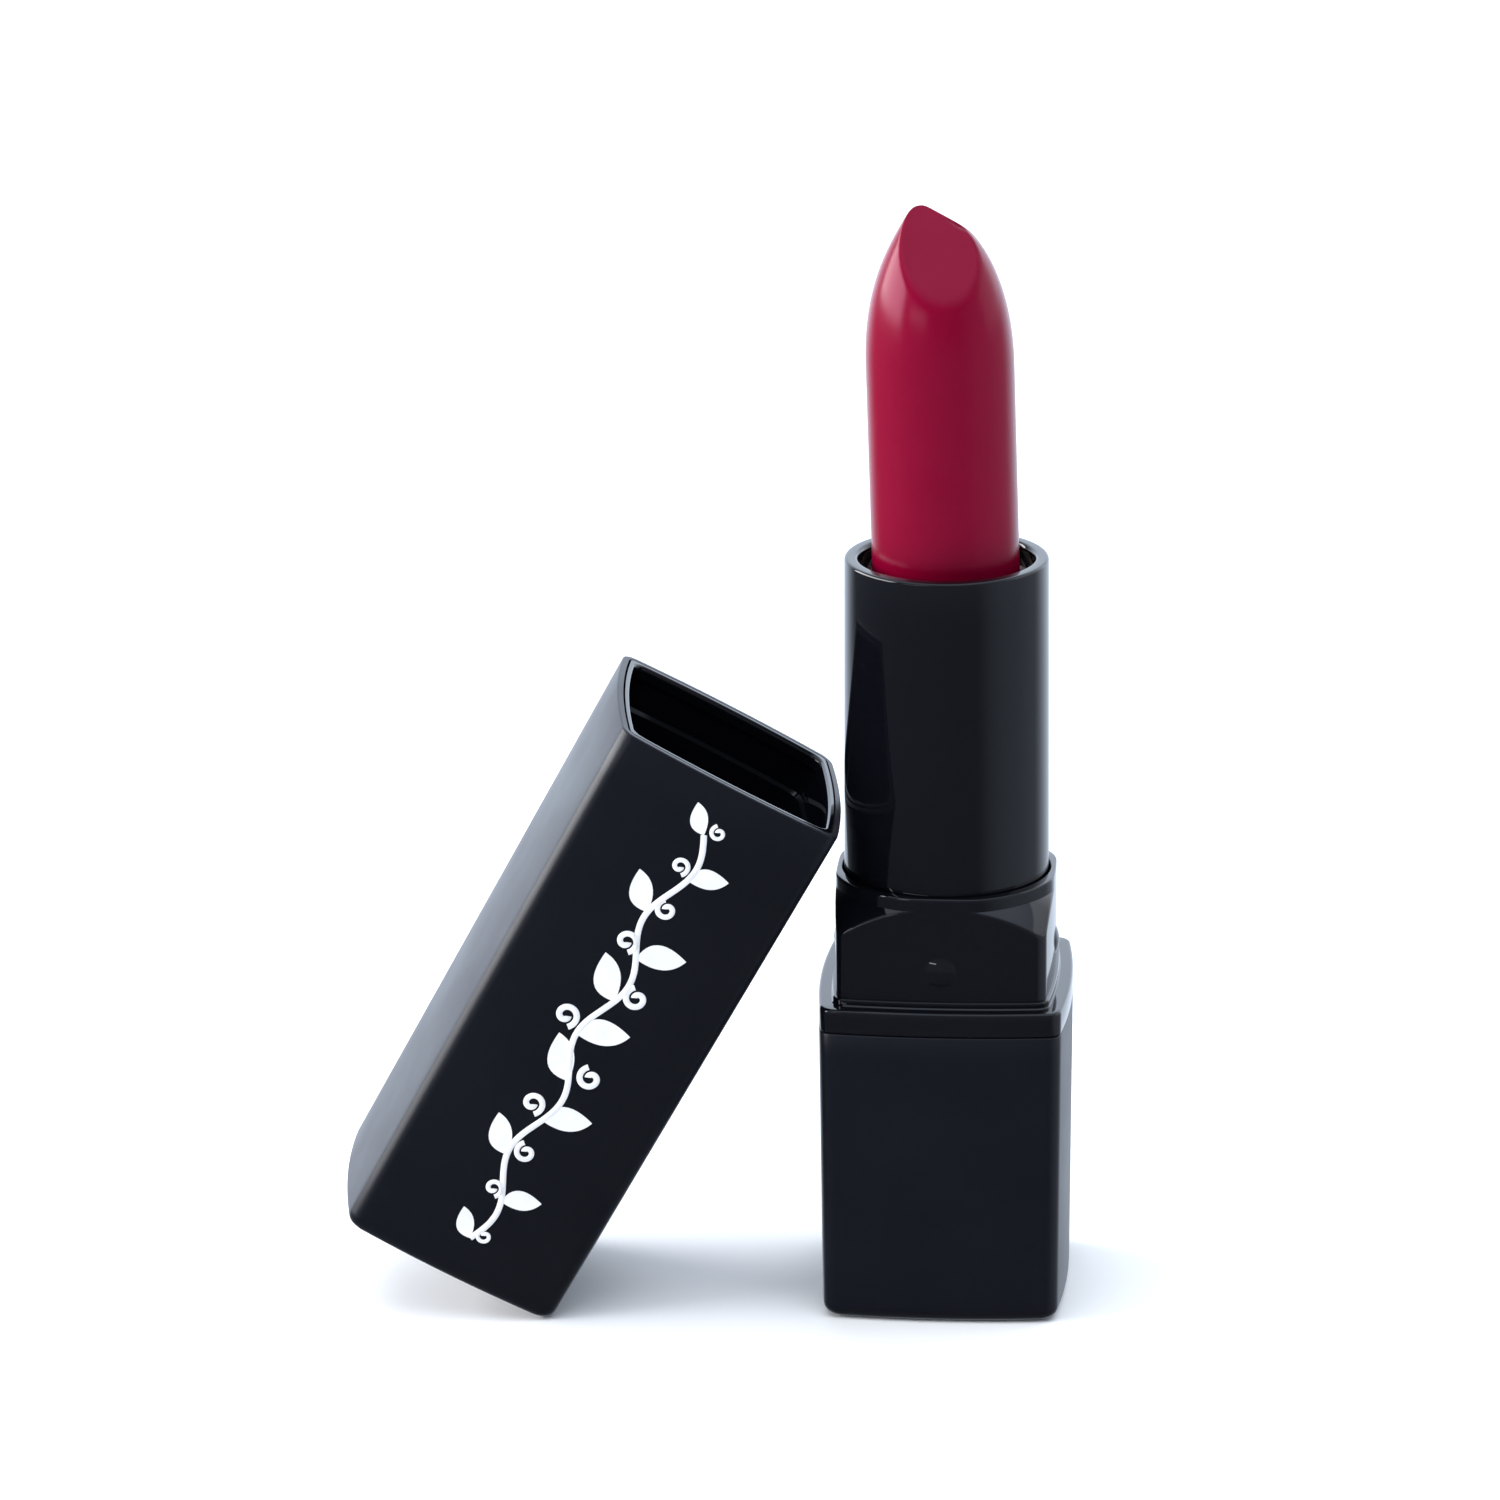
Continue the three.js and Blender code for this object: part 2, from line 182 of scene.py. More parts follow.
def soft_touch_coat():
    """Matt sprayed coat: a fine orange-peel grain, cloudy sheen, and a few pale specks of dust."""
    material, nodes, links, skin = fresh_material("soft touch black")
    place = nodes.new("ShaderNodeTexCoord")
    grain = wired(nodes, links, "ShaderNodeTexNoise",
                  {"Vector": place.outputs["Object"], "Scale": 9000.0, "Detail": 3.0, "Roughness": 0.6})
    cloud = noise(nodes, links, place, 120.0, 4.0)
    speck = wired(nodes, links, "ShaderNodeTexVoronoi",
                  {"Vector": place.outputs["Object"], "Scale": 420.0, "Randomness": 1.0})
    kept = wired(nodes, links, "ShaderNodeMath",
                 {0: speck.outputs["Color"], 1: 0.965}, operation="GREATER_THAN")
    tiny = wired(nodes, links, "ShaderNodeMath",
                 {0: speck.outputs["Distance"], 1: 0.035}, operation="LESS_THAN")
    dust = wired(nodes, links, "ShaderNodeMath",
                 {0: kept.outputs[0], 1: tiny.outputs[0]}, operation="MULTIPLY")
    tone = blended(nodes, links, cloud, (0.0014, 0.0019, 0.0064, 1), (0.0024, 0.003, 0.0086, 1))
    colour = wired(nodes, links, "ShaderNodeMixRGB",
                   {0: dust.outputs[0], 1: tone.outputs[0], 2: (0.16, 0.17, 0.19, 1)})
    rough = shine(nodes, links, cloud, 0.36, 0.43)
    bump = bumped(nodes, links, grain, 0.12, 0.00002)
    links.new(colour.outputs[0], skin.inputs["Base Color"])
    links.new(rough.outputs[0], skin.inputs["Roughness"])
    links.new(bump.outputs[0], skin.inputs["Normal"])
    skin.inputs["Specular IOR Level"].default_value = 0.43
    skin.inputs["Sheen Weight"].default_value = 0.03
    skin.inputs["Sheen Roughness"].default_value = 0.4
    return material


soft_touch = soft_touch_coat()


def square_tub(name, height, draft, edge, wall, floor):
    """A moulded square tub, open at the top: rounded foot, drafted sides, bevelled rim, and its inside."""
    edge_steps = 10
    side_rows = 12
    rim_inside = 0.0004
    rings = []
    foot = pillow_square(body_half - draft, body_corner)
    rings.append(at_height(squeezed(foot, edge * 1.6, body_half), 0))
    for i in range(edge_steps + 1):
        a = math.pi / 2 * i / edge_steps
        inset = edge * (1 - math.sin(a))
        rings.append(at_height(squeezed(foot, inset, body_half), edge * (1 - math.cos(a))))

    def level(half, corner, z):
        rings.append(at_height(pillow_square(half, corner), z))

    for i in range(1, side_rows + 1):
        share = i / side_rows
        level(body_half - draft * (1 - share), body_corner, edge + (height - rim_bevel - edge) * share)
    level(body_half - rim_bevel * 0.3, body_corner, height - rim_bevel * 0.35)
    level(body_half - rim_bevel, body_corner, height)
    level(body_half - rim_bevel - rim_hold, body_corner, height)
    inner_corner = body_corner - wall * 0.6
    level(body_half - wall, inner_corner, height)
    level(body_half - wall, inner_corner, height - rim_inside)
    level(body_half - wall - draft, inner_corner, floor)
    return skinned(name, rings)


base_shell = square_tub("base_shell_skin", shell_top, shell_draft, shell_edge, shell_wall, shell_floor)
smooth_over(base_shell, 40)
finished(base_shell, soft_touch, "base", "soft_touch_black", "base_shell")


# ---------------------------------------------------------------------------
# Inner base and weight: the moulded core that joins the shell to the collar, and a turned steel slug in
# its pocket. Neither shows on the whole case. The core is plain black polypropylene, the slug
# free-cutting steel.

def plain_moulding():
    """Unpainted black moulding with a faint spark-eroded grain."""
    material, nodes, links, skin = fresh_material("plain black moulding")
    place = nodes.new("ShaderNodeTexCoord")
    grain = noise(nodes, links, place, 4200.0, 3.0)
    cloud = noise(nodes, links, place, 200.0, 2.0)
    tone = blended(nodes, links, cloud, (0.016, 0.016, 0.018, 1), (0.024, 0.024, 0.027, 1))
    rough = shine(nodes, links, cloud, 0.28, 0.4)
    bump = bumped(nodes, links, grain, 0.2, 0.00002)
    links.new(tone.outputs[0], skin.inputs["Base Color"])
    links.new(rough.outputs[0], skin.inputs["Roughness"])
    links.new(bump.outputs[0], skin.inputs["Normal"])
    return material


def turned_steel():
    """Turned steel: fine rings about the slug's axis, and a slightly uneven shine."""
    material, nodes, links, skin = fresh_material("turned steel")
    place = nodes.new("ShaderNodeTexCoord")
    rings = wired(nodes, links, "ShaderNodeTexWave",
                  {"Vector": place.outputs["Object"], "Scale": 900.0, "Distortion": 1.5, "Detail": 2.0},
                  wave_type="RINGS", rings_direction="Z")
    cloud = noise(nodes, links, place, 300.0, 4.0)
    tone = blended(nodes, links, cloud, (0.36, 0.37, 0.39, 1), (0.5, 0.5, 0.52, 1))
    rough = shine(nodes, links, cloud, 0.25, 0.42)
    bump = bumped(nodes, links, rings, 0.15, 0.00002)
    links.new(tone.outputs[0], skin.inputs["Base Color"])
    links.new(rough.outputs[0], skin.inputs["Roughness"])
    links.new(bump.outputs[0], skin.inputs["Normal"])
    skin.inputs["Metallic"].default_value = 1.0
    return material


def recoated(node, material):
    """A CAD node whose shape is right keeps its mesh and gets its real finish."""
    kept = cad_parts[node]
    kept.data.materials.clear()
    kept.data.materials.append(material)


moulding = plain_moulding()
recoated("base_insert", moulding)
recoated("base_weight", turned_steel())


# ---------------------------------------------------------------------------
# Shade label: a round film label let into the underside, with a dot of the lipstick's colour.
# White film, printed and varnished, with no lettering.

label_radius = 0.0072
label_thick = 0.0002
label_ease = 0.00004
swatch_radius = 0.0042
ring_inside = 0.0063
ring_outside = 0.0065


def printed_label():
    """White film with a round swatch of the shade and a thin grey ring, on the piece's own X and Y."""
    material, nodes, links, skin = fresh_material("printed label")
    place = nodes.new("ShaderNodeTexCoord")
    flat = wired(nodes, links, "ShaderNodeVectorMath",
                 {0: place.outputs["Object"], 1: (1.0, 1.0, 0.0)}, operation="MULTIPLY")
    reach = wired(nodes, links, "ShaderNodeVectorMath", {0: flat.outputs[0]}, operation="LENGTH")
    fibre = noise(nodes, links, place, 3000.0, 4.0)
    swatch = wired(nodes, links, "ShaderNodeMath",
                   {0: reach.outputs["Value"], 1: swatch_radius}, operation="LESS_THAN")
    inner = wired(nodes, links, "ShaderNodeMath",
                  {0: reach.outputs["Value"], 1: ring_inside}, operation="GREATER_THAN")
    outer = wired(nodes, links, "ShaderNodeMath",
                  {0: reach.outputs["Value"], 1: ring_outside}, operation="LESS_THAN")
    band = wired(nodes, links, "ShaderNodeMath",
                 {0: inner.outputs[0], 1: outer.outputs[0]}, operation="MULTIPLY")
    paper = blended(nodes, links, fibre, (0.66, 0.64, 0.62, 1), (0.74, 0.72, 0.7, 1))
    ringed = wired(nodes, links, "ShaderNodeMixRGB",
                   {0: band.outputs[0], 1: paper.outputs[0], 2: (0.2, 0.2, 0.21, 1)})
    shade = wired(nodes, links, "ShaderNodeMixRGB",
                  {0: swatch.outputs[0], 1: ringed.outputs[0], 2: (0.27, 0.006, 0.032, 1)})
    rough = shine(nodes, links, fibre, 0.3, 0.42)
    links.new(shade.outputs[0], skin.inputs["Base Color"])
    links.new(rough.outputs[0], skin.inputs["Roughness"])
    return material


def turned_piece(name, profile, steps=128):
    """A closed body turned about Z from (radius, height) points, in a loop or ending on the axis."""
    bm = bmesh.new()
    rings = []
    for radius, z in profile:
        if radius < 1e-7:
            rings.append([bm.verts.new((0, 0, z))])
        else:
            angles = [2 * math.pi * i / steps for i in range(steps)]
            rings.append([bm.verts.new((radius * math.cos(a), radius * math.sin(a), z)) for a in angles])
    pairs = list(zip(rings, rings[1:]))
    if len(rings[0]) > 1:
        pairs.append((rings[-1], rings[0]))
    for low, high in pairs:
        for i in range(steps):
            j = (i + 1) % steps
            if len(low) == 1:
                bm.faces.new((low[0], high[j], high[i]))
            elif len(high) == 1:
                bm.faces.new((low[i], low[j], high[0]))
            else:
                bm.faces.new((low[i], low[j], high[j], high[i]))
    return made_solid(name, bm)


label = turned_piece("shade_label_film", [
    (0, 0), (label_radius - 0.00005, 0), (label_radius, label_ease),
    (label_radius, label_thick), (0, label_thick)])
smooth_over(label, 30)
finished(label, printed_label(), "base", "label_film", "shade_label")


# ---------------------------------------------------------------------------
# Collar: the square flange that shows as a strip above the base, the neck that the cap pushes over, and
# the ring round the sleeve. One gloss black ABS moulding, glued into the inner base by its skirt.
# A domed shoulder trims the square neck back to the ring, which leaves four low arches.

def piano_gloss():
    """Polished black: a deep clear surface with a trace of waviness and hairline smears."""
    material, nodes, links, skin = fresh_material("gloss black")
    place = nodes.new("ShaderNodeTexCoord")
    wave = noise(nodes, links, place, 160.0, 2.0)
    smear = wired(nodes, links, "ShaderNodeTexNoise",
                  {"Vector": place.outputs["Object"], "Scale": 70.0, "Detail": 6.0, "Distortion": 1.2})
    tone = blended(nodes, links, smear, (0.0024, 0.0026, 0.0042, 1), (0.0032, 0.0034, 0.0054, 1))
    rough = wired(nodes, links, "ShaderNodeMapRange",
                  {0: smear.outputs[0], 1: 0.35, 2: 0.75, 3: 0.045, 4: 0.085})
    bump = bumped(nodes, links, wave, 0.06, 0.00004)
    links.new(tone.outputs[0], skin.inputs["Base Color"])
    links.new(rough.outputs[0], skin.inputs["Roughness"])
    links.new(bump.outputs[0], skin.inputs["Normal"])
    skin.inputs["IOR"].default_value = 1.5
    return material


gloss = piano_gloss()

neck_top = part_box("collar")[1].z
flange_height = 0.0021
flange_ease = 0.00028
ledge_height = shell_top + flange_height
skirt_depth = 0.0032
skirt_inset = 0.0011
skirt_corner = 0.0005
seam_inset = 0.0006
seam_height = 0.0001
neck_half = 0.0091
neck_corner = 0.0012
foot_proud = 0.00025
ring_radius = 0.00948
ring_deep = 0.0011
ring_ease = 0.00015
arch_span = 0.0034
dome_flare = 1.37
dome_round = 130
bore_radius = 0.00865
bore_ease = 0.00006


def nearer(a, b, blend=0.0002):
    """The smaller of two distances, with a small round where they cross, to catch the light."""
    close = max(0.0, blend - abs(a - b)) / blend
    return min(a, b) - close * close * blend / 4


def dome_reach(z):
    """Radius of the domed shoulder that trims the square neck: it swells down from the ring's foot."""
    deep = neck_top - ring_deep - z
    if deep <= 0:
        return ring_radius
    return ring_radius + dome_flare * deep - dome_round * deep * deep


def fine_square(half, corner):
    return pillow_square(half, corner, 104, 22)


def neck_section(z):
    """The neck's outline at a height: the square, trimmed wherever the dome is nearer the axis."""
    points = []
    for x, y in fine_square(neck_half, neck_corner):
        far = math.hypot(x, y)
        share = nearer(dome_reach(z), far) / far
        points.append((x * share, y * share, z))
    return points


def wide_section(half, corner, z):
    return at_height(fine_square(half, corner), z)


def rim_section(inset, z):
    """The ring's top edge, eased by an inset and still trimmed flat by the neck's four sides."""
    points = []
    for x, y in fine_square(neck_half - inset, neck_corner):
        far = math.hypot(x, y)
        share = nearer(ring_radius - inset, far) / far
        points.append((x * share, y * share, z))
    return points


def round_section(radius, z):
    points = []
    for x, y in fine_square(neck_half, neck_corner):
        far = math.hypot(x, y)
        points.append((x / far * radius, y / far * radius, z))
    return points


def collar_rings():
    """Up the outside from the skirt, over the flange, neck, arches and ring, and down the round bore."""
    rings = [wide_section(body_half - skirt_inset, skirt_corner, shell_top - skirt_depth),
             wide_section(body_half - skirt_inset, skirt_corner, shell_top),
             wide_section(body_half - seam_inset, body_corner, shell_top),
             wide_section(body_half - seam_inset, body_corner, shell_top + seam_height)]
    for inset, rise in ((0.00008, seam_height), (0.00002, 0.00013), (0, 0.00019)):
        rings.append(wide_section(body_half - inset, body_corner, shell_top + rise))
    ease_steps = 6
    for i in range(ease_steps + 1):
        a = math.pi / 2 * i / ease_steps
        inset = flange_ease * (1 - math.cos(a))
        drop = flange_ease * (1 - math.sin(a))
        rings.append(wide_section(body_half - inset, body_corner, ledge_height - drop))
    foot = neck_half + foot_proud
    for proud, rise in ((0.0001, 0), (0, 0.0001), (0, 0.00048), (-0.00006, 0.00058)):
        rings.append(wide_section(foot + proud, neck_corner, ledge_height + rise))
    rings.append(wide_section(neck_half, neck_corner, ledge_height + 0.00062))
    low = ledge_height + 0.0009
    shoulder = neck_top - ring_deep - arch_span
    plain_rows, arch_rows, ring_rows = 6, 61, 8
    for i in range(plain_rows):
        rings.append(neck_section(low + (shoulder - low) * i / plain_rows))
    for i in range(arch_rows):
        rings.append(neck_section(shoulder + arch_span * i / arch_rows))
    for i in range(ring_rows + 1):
        rings.append(neck_section(neck_top - ring_deep + (ring_deep - ring_ease) * i / ring_rows))
    for inset, drop in ((0.00003, 0.00007), (0.00008, 0.00002), (ring_ease, 0)):
        rings.append(rim_section(inset, neck_top - drop))
    rings.append(round_section(bore_radius + bore_ease, neck_top))
    rings.append(round_section(bore_radius, neck_top - bore_ease))
    rings.append(round_section(bore_radius, shell_top - skirt_depth))
    return rings


def looped(name, rings):
    """A closed skin with a hole through it: the last ring joins back to the first."""
    bm = bmesh.new()
    loops = [[bm.verts.new(p) for p in ring] for ring in rings]
    count = len(rings[0])
    for low, high in zip(loops, loops[1:] + loops[:1]):
        for i in range(count):
            bm.faces.new((low[i], low[(i + 1) % count], high[(i + 1) % count], high[i]))
    return made_solid(name, bm)


collar = looped("collar_moulding", collar_rings())
smooth_over(collar, 24)
finished(collar, gloss, "base", "gloss_black", "collar")


# ---------------------------------------------------------------------------
# Click bumps: four low domes on the middle of the neck's sides, which snap into a groove in the cap's
# liner. They belong to the collar's moulding, and share its gloss.

def click_bumps():
    """Geometry Nodes put one dome on each side of the neck."""
    tree = bpy.data.node_groups.new("click bumps", "GeometryNodeTree")
    face = tree.interface
    face.new_socket("Geometry", in_out="INPUT", socket_type="NodeSocketGeometry")
    face.new_socket("Geometry", in_out="OUTPUT", socket_type="NodeSocketGeometry")
    for name, kind in (("Sides", "NodeSocketInt"), ("Reach", "NodeSocketFloat"),
                       ("Height", "NodeSocketFloat"), ("Ball", "NodeSocketFloat"),
                       ("Finish", "NodeSocketMaterial")):
        face.new_socket(name, in_out="INPUT", socket_type=kind)
    nodes, links = tree.nodes, tree.links
    given = nodes.new("NodeGroupInput")
    made = nodes.new("NodeGroupOutput")
    ring = wired(nodes, links, "GeometryNodeMeshCircle",
                 {"Vertices": given.outputs["Sides"], "Radius": given.outputs["Reach"]})
    lift = wired(nodes, links, "ShaderNodeCombineXYZ", {"Z": given.outputs["Height"]})
    raised = wired(nodes, links, "GeometryNodeTransform",
                   {"Geometry": ring.outputs[0], "Translation": lift.outputs[0]})
    dome = wired(nodes, links, "GeometryNodeMeshUVSphere",
                 {"Segments": 64, "Rings": 48, "Radius": given.outputs["Ball"]})
    smooth = wired(nodes, links, "GeometryNodeSetShadeSmooth", {"Geometry": dome.outputs["Mesh"]})
    copies = wired(nodes, links, "GeometryNodeInstanceOnPoints",
                   {"Points": raised.outputs[0], "Instance": smooth.outputs[0]})
    real = wired(nodes, links, "GeometryNodeRealizeInstances", {"Geometry": copies.outputs[0]})
    coated = wired(nodes, links, "GeometryNodeSetMaterial",
                   {"Geometry": real.outputs[0], "Material": given.outputs["Finish"]})
    links.new(coated.outputs[0], made.inputs[0])
    return tree


def grown(name, tree, settings, finish):
    """Runs a tree on an empty mesh and gives back a plain mesh object with the result."""
    seed = shown(name + "_seed", bpy.data.meshes.new(name + "_seed"))
    growth = seed.modifiers.new("grown", "NODES")
    growth.node_group = tree
    for item in tree.interface.items_tree:
        if item.in_out == "INPUT" and item.name in settings:
            growth[item.identifier] = settings[item.name]
        if item.in_out == "INPUT" and item.name == "Finish":
            growth[item.identifier] = finish
    bpy.context.view_layer.update()
    ready = seed.evaluated_get(bpy.context.evaluated_depsgraph_get())
    mesh = bpy.data.meshes.new_from_object(ready)
    mesh.name = name
    bpy.data.objects.remove(seed)
    return shown(name, mesh)


bump_radius = 0.00125
bump_rise = 0.0003
bump_sunk = 0.0002
bump_height = 0.0031
bump_ball = (bump_radius ** 2 + bump_rise ** 2) / (2 * bump_rise)
bumps = grown("click_bumps", click_bumps(), {
    "Sides": 4,
    "Reach": neck_half + bump_rise - bump_ball,
    "Height": ledge_height + bump_height,
    "Ball": bump_ball,
}, gloss)
trim = bmesh.new()
trim.from_mesh(bumps.data)
buried = [v for v in trim.verts if max(abs(v.co.x), abs(v.co.y)) < neck_half - bump_sunk]
bmesh.ops.delete(trim, geom=buried, context="VERTS")
bmesh.ops.holes_fill(trim, edges=[e for e in trim.edges if e.is_boundary])
bmesh.ops.recalc_face_normals(trim, faces=trim.faces)
trim.to_mesh(bumps.data)
trim.free()
smooth_over(bumps, 60)
finished(bumps, gloss, "base", "gloss_black")


# ---------------------------------------------------------------------------
# Guide tube and brake ring: the slotted inner tube fixed in the base, and the silicone ring that gives the
# turn its drag. The tube is black polypropylene, and its top edge shows just inside the sleeve's mouth
# when the lipstick is down.

def satin_silicone():
    material, nodes, links, skin = fresh_material("silicone")
    place = nodes.new("ShaderNodeTexCoord")
    cloud = noise(nodes, links, place, 500.0, 3.0)
    tone = blended(nodes, links, cloud, (0.15, 0.15, 0.15, 1), (0.21, 0.21, 0.21, 1))
    rough = shine(nodes, links, cloud, 0.45, 0.6)
    links.new(tone.outputs[0], skin.inputs["Base Color"])
    links.new(rough.outputs[0], skin.inputs["Roughness"])
    return material


recoated("guide_tube", moulding)
recoated("brake_ring", satin_silicone())


# ---------------------------------------------------------------------------
# Tube sleeve: the round outer tube that the user turns, gloss black like the collar, with a rolled lip at
# its mouth. Inside it is fixed the white spiral sleeve, an acetal moulding with two helical grooves for
# the cup's pins.

sleeve_low, sleeve_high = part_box("tube_sleeve")
sleeve_top = sleeve_high.z
sleeve_foot = sleeve_low.z
sleeve_radius = 0.0085
sleeve_bore = 0.0081
sleeve_draft = 0.0001
foot_bevel = 0.00015
lip_radius = sleeve_radius - sleeve_draft
lip_ease = 0.00026
lip_deep = 0.0019
mouth_radius = 0.0072
mouth_flare = 0.00035
mouth_roll = 0.0005


def sleeve_profile():
    """Outside up the drafted wall, over the rolled lip, and down the inside."""
    steps = 8
    points = [(sleeve_bore, sleeve_foot), (sleeve_radius - foot_bevel, sleeve_foot),
              (sleeve_radius, sleeve_foot + foot_bevel), (sleeve_radius, neck_top)]
    for i in range(1, steps + 1):
        rise = (sleeve_top - lip_ease - neck_top) * i / steps
        points.append((sleeve_radius - sleeve_draft * i / steps, neck_top + rise))
    quarter = [math.pi / 2 * i / steps for i in range(steps + 1)]
    for a in quarter[1:]:
        ease = lip_ease * (1 - math.cos(a))
        points.append((lip_radius - ease, sleeve_top - lip_ease * (1 - math.sin(a))))
    for a in quarter:
        flare = mouth_flare * (1 - math.sin(a))
        points.append((mouth_radius + flare, sleeve_top - mouth_roll * (1 - math.cos(a))))
    points.append((mouth_radius, sleeve_top - lip_deep))
    points.append((sleeve_bore, sleeve_top - lip_deep))
    return points


def white_acetal():
    material, nodes, links, skin = fresh_material("white acetal")
    place = nodes.new("ShaderNodeTexCoord")
    cloud = noise(nodes, links, place, 260.0, 3.0)
    tone = blended(nodes, links, cloud, (0.66, 0.66, 0.64, 1), (0.75, 0.75, 0.73, 1))
    rough = shine(nodes, links, cloud, 0.3, 0.42)
    links.new(tone.outputs[0], skin.inputs["Base Color"])
    links.new(rough.outputs[0], skin.inputs["Roughness"])
    skin.inputs["Subsurface Weight"].default_value = 0.1
    skin.inputs["Subsurface Scale"].default_value = 0.0005
    return material


sleeve = turned_piece("tube_sleeve_wall", sleeve_profile(), 192)
smooth_over(sleeve, 35)
finished(sleeve, gloss, "turning_tube", "gloss_black", "tube_sleeve")
recoated("spiral_sleeve", white_acetal())


# ---------------------------------------------------------------------------
# Cup: the short pale cup that holds the lipstick's foot, moulded with two pins that run in the slots and
# grooves. Its rim shows as a thin pale line round the lipstick, a little below the sleeve's lip, and
# carries a smear of colour.

def pale_cup():
    """Pale pink moulding, with crimson wax smeared on the rim where the lipstick leaves it."""
    material, nodes, links, skin = fresh_material("pale cup")
    place = nodes.new("ShaderNodeTexCoord")
    smear = noise(nodes, links, place, 900.0, 4.0)
    blot = wired(nodes, links, "ShaderNodeMapRange",
                 {0: smear.outputs[0], 1: 0.56, 2: 0.66, 3: 0.0, 4: 0.7})
    tone = blended(nodes, links, blot, (0.7, 0.6, 0.64, 1), (0.42, 0.06, 0.12, 1))
    rough = shine(nodes, links, smear, 0.22, 0.4)
    links.new(tone.outputs[0], skin.inputs["Base Color"])
    links.new(rough.outputs[0], skin.inputs["Roughness"])
    return material


cup_low, cup_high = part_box("cup")
cup_foot, cup_rim = cup_low.z, cup_high.z
cup_radius = 0.0066
cup_floor = 0.0009
cup_ease = 0.0003
rim_round = 0.0002
half_rim = 0.00023
press_gap = 0.00005
bullet_radius = 0.00605
pin_radius = 0.00085
pin_root = 0.0063
pin_end = 0.00765
pin_height = 0.0014


def cup_body():
    wall = [(0, cup_foot), (cup_radius - cup_ease, cup_foot), (cup_radius - 0.0001, cup_foot + 0.0001),
            (cup_radius, cup_foot + cup_ease), (cup_radius, cup_rim - rim_round)]
    steps = 6
    for i in range(1, steps + 1):
        a = math.pi * i / steps
        rise = rim_round * math.sin(a)
        wall.append((cup_radius - half_rim * (1 - math.cos(a)), cup_rim - rim_round + rise))
    wall += [(bullet_radius + press_gap, cup_foot + cup_floor), (0, cup_foot + cup_floor)]
    return turned_piece("cup_wall", wall, 128)


def cup_pins():
    """The two pins, short rods with domed ends that stand out to left and right near the foot."""
    bm = bmesh.new()
    steps = 40
    profile = [(pin_radius, pin_root), (pin_radius, 0.0074), (0.00078, 0.00755),
               (0.0006, 0.00764), (0, pin_end)]
    for turn in (90, -90):
        sideways = Matrix.Rotation(math.radians(turn), 4, "Y")
        rings = []
        for radius, reach in profile:
            ring = []
            for i in range(steps if radius > 0 else 1):
                a = 2 * math.pi * i / steps
                spot = sideways @ Vector((radius * math.cos(a), radius * math.sin(a), reach))
                ring.append(bm.verts.new(spot))
            rings.append(ring)
        bm.faces.new(list(reversed(rings[0])))
        for low, high in zip(rings, rings[1:]):
            for i in range(steps):
                j = (i + 1) % steps
                ends = (high[0],) if len(high) == 1 else (high[j], high[i])
                bm.faces.new((low[i], low[j], *ends))
    bmesh.ops.translate(bm, verts=bm.verts, vec=(0, 0, cup_foot + pin_height))
    return made_solid("cup_pins", bm)


cup_finish = pale_cup()
cup = cup_body()
smooth_over(cup, 35)
finished(cup, cup_finish, "lipstick", "cup_pale", "cup")
pins = cup_pins()
smooth_over(pins, 35)
finished(pins, cup_finish, "lipstick", "cup_pale")


# ---------------------------------------------------------------------------
# Lipstick: a crimson wax bullet, poured in a mould, with a pointed dome and one slanting flat at the front.
# The flat's edge is softly rounded, and the dome is trimmed straight behind the tip. The wax is satin,
# and the bullet leans a degree or two in its cup.

bullet_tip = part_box("bullet")[1].z
bullet_foot = cup_foot + cup_floor
dome_high = 0.0134
dome_blunt = 2.2
dome_power = 0.66
cut_deep = 0.00025
tip_back = 0.0008
cut_slope = math.radians(48.5)
cut_turn = math.radians(11)
tip_skew = 0.0011
skew_deep = 0.0013
bullet_lean = math.tan(math.radians(1.6))
cut_heading = Matrix.Rotation(cut_turn, 3, "Z")
cut_normal = cut_heading @ Vector((0, -math.sin(cut_slope), math.cos(cut_slope)))
cut_uphill = cut_heading @ Vector((0, math.cos(cut_slope), math.sin(cut_slope)))
cut_across = cut_heading @ Vector((1, 0, 0))
cut_point = cut_heading @ Vector((0, tip_back, 0)) + Vector((0, 0, bullet_tip))
edge_soft = 0.00016
lower_edge_soft = 0.00042
softening_start = 0.001
softening_span = 0.005
trim_normal = Vector((0.4713, 0.3011, 0.8291))
trim_reach = 0.005
pinch_below = 0.0019
pinch_aside = 0.00215
pinch_long = 0.00085
pinch_wide = 0.00026
pinch_deep = 0.00022


def softened(depth, soft):
    """How far a point this deep outside a flat moves in, so that the flat has a rounded edge."""
    if depth <= -soft:
        return 0.0
    if depth >= soft:
        return depth
    return (depth + soft) ** 2 / (4 * soft)


def dented(spot):
    """Depth of the small pinch in the flat's upper right edge, left by the mould."""
    up = (spot - cut_point).dot(cut_uphill) + pinch_below
    side = (spot - cut_point).dot(cut_across) - pinch_aside
    along = 0.76 * side - 0.65 * up
    over = 0.65 * side + 0.76 * up
    return pinch_deep * math.exp(-(along / pinch_long) ** 2 - (over / pinch_wide) ** 2)


def dome_radius(rise):
    return bullet_radius * (1 - rise ** dome_blunt) ** dome_power


def leant(spot):
    """How far a point moves to the left: the bullet's lean, and the tip's own skew."""
    lean = bullet_lean * max(0.0, spot.z - cup_rim)
    return lean + tip_skew * math.exp((spot.z - bullet_tip) / skew_deep)


